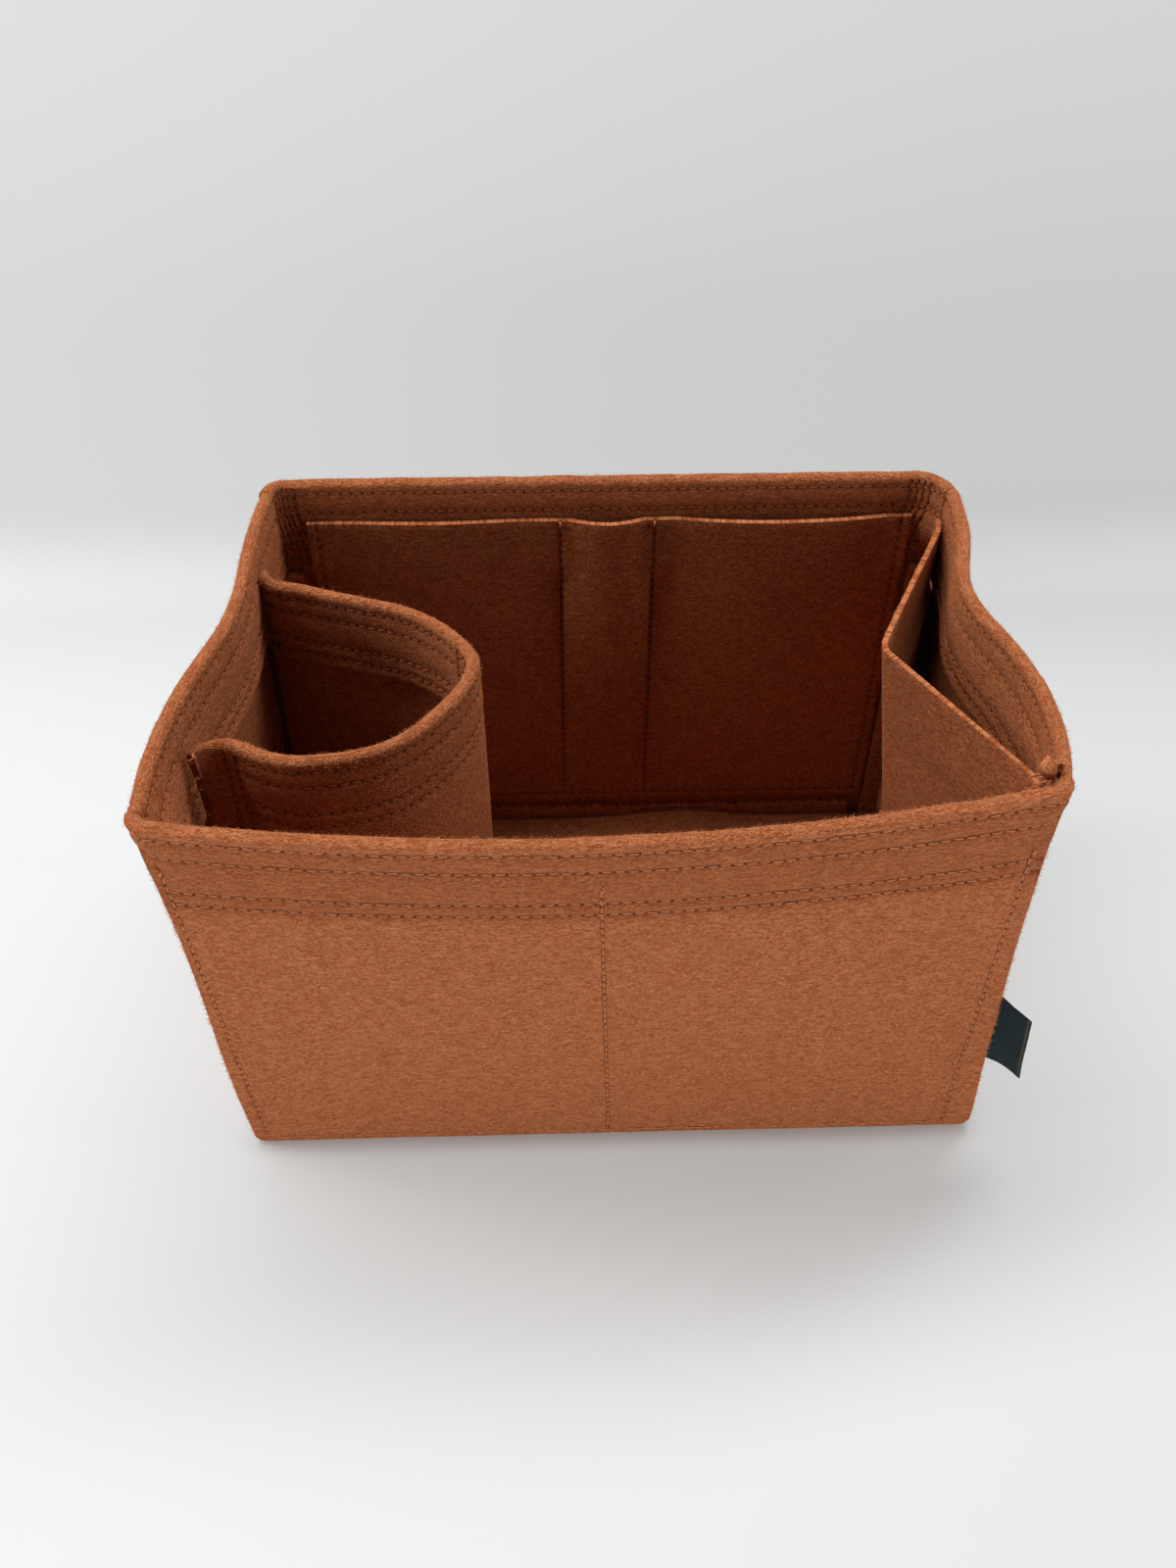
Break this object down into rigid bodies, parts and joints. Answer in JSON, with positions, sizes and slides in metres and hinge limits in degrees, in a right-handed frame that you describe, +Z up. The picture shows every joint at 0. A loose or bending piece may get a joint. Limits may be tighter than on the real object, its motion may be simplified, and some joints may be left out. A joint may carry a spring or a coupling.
{
  "type": "purse organizer insert",
  "caption": "Open-topped felt box that stands inside a handbag, with a bottle holder at one end, slip pockets along the walls and a loose base layer.",
  "frame": {"origin": "Middle of the underside of the base, on the surface the organizer stands on.", "axes": "+X runs along the front to the end with the label and the tall end pocket, +Y from the front to the back, +Z up."},
  "size_m": [0.3018, 0.2109, 0.189],
  "materials": {
    "wall_felt": "dense wool-look felt, chestnut brown, faintly streaked, sewn with matching thread",
    "pocket_felt": "the same chestnut felt with raw cut edges",
    "base_felt": "the same chestnut felt, seen from below",
    "insert_felt": "loose sheet of the same chestnut felt",
    "label_weave": "very dark teal satin-woven tape, bare, with a thin gold line near its outer edge"
  },
  "bodies": {
    "shell": {"front_panel": "wall_felt", "back_panel": "wall_felt", "left_end_panel": "wall_felt", "right_end_panel": "wall_felt", "base_panel": "base_felt", "back_pocket_panel": "pocket_felt", "front_pocket_panel": "pocket_felt", "bottle_holder": "pocket_felt", "end_pocket_panel": "pocket_felt"},
    "insert": {"base_insert": "insert_felt"},
    "label": {"side_label": "label_weave"}
  },
  "joints": [
    {"name": "insert_lift", "type": "slide", "parent": "shell", "child": "insert", "axis": [0, 0, 1], "range_m": [0, 0.008]},
    {"name": "label_flip", "type": "hinge", "parent": "shell", "child": "label", "pos_m": [0.14215, -0.08779, 0.064], "axis": [-0.0212, -0.0061, 0.9998], "range_deg": [-48, 120]}
  ]
}
